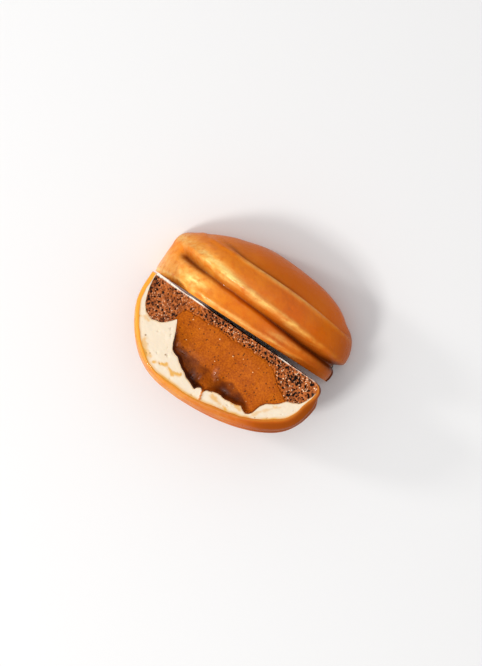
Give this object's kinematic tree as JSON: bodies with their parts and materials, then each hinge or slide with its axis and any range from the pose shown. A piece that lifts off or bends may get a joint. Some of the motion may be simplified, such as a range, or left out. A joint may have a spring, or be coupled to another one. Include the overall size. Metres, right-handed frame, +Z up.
{
  "type": "pecan-shaped mousse dessert cut in two",
  "caption": "Mousse dessert moulded like a shelled pecan half, cut along its length: one part stands, the other lies cut face up and shows cream, caramel and sponge.",
  "frame": {"origin": "centre of the whole object's bounding box, at the surface it rests on", "axes": "+X along the length from the blunt end to the rounded nose, +Y from the tipped half to the standing half, +Z up"},
  "size_m": [0.09, 0.0748, 0.0386],
  "materials": {
    "glaze": "soft gloss, golden brown shading to deep caramel in the creases and towards the nose",
    "cream": "satin ivory with small air bubbles on the cut",
    "caramel": "smooth soft gloss, darker where it is thick or shaded",
    "sponge": "matt, porous crumb"
  },
  "bodies": {
    "root": {"standing_half_glaze": "glaze", "standing_half_cream": "cream", "standing_half_caramel": "caramel", "standing_half_sponge": "sponge", "tipped_half_glaze": "glaze", "tipped_half_cream": "cream", "tipped_half_caramel": "caramel", "tipped_half_sponge": "sponge"}
  },
  "joints": []
}
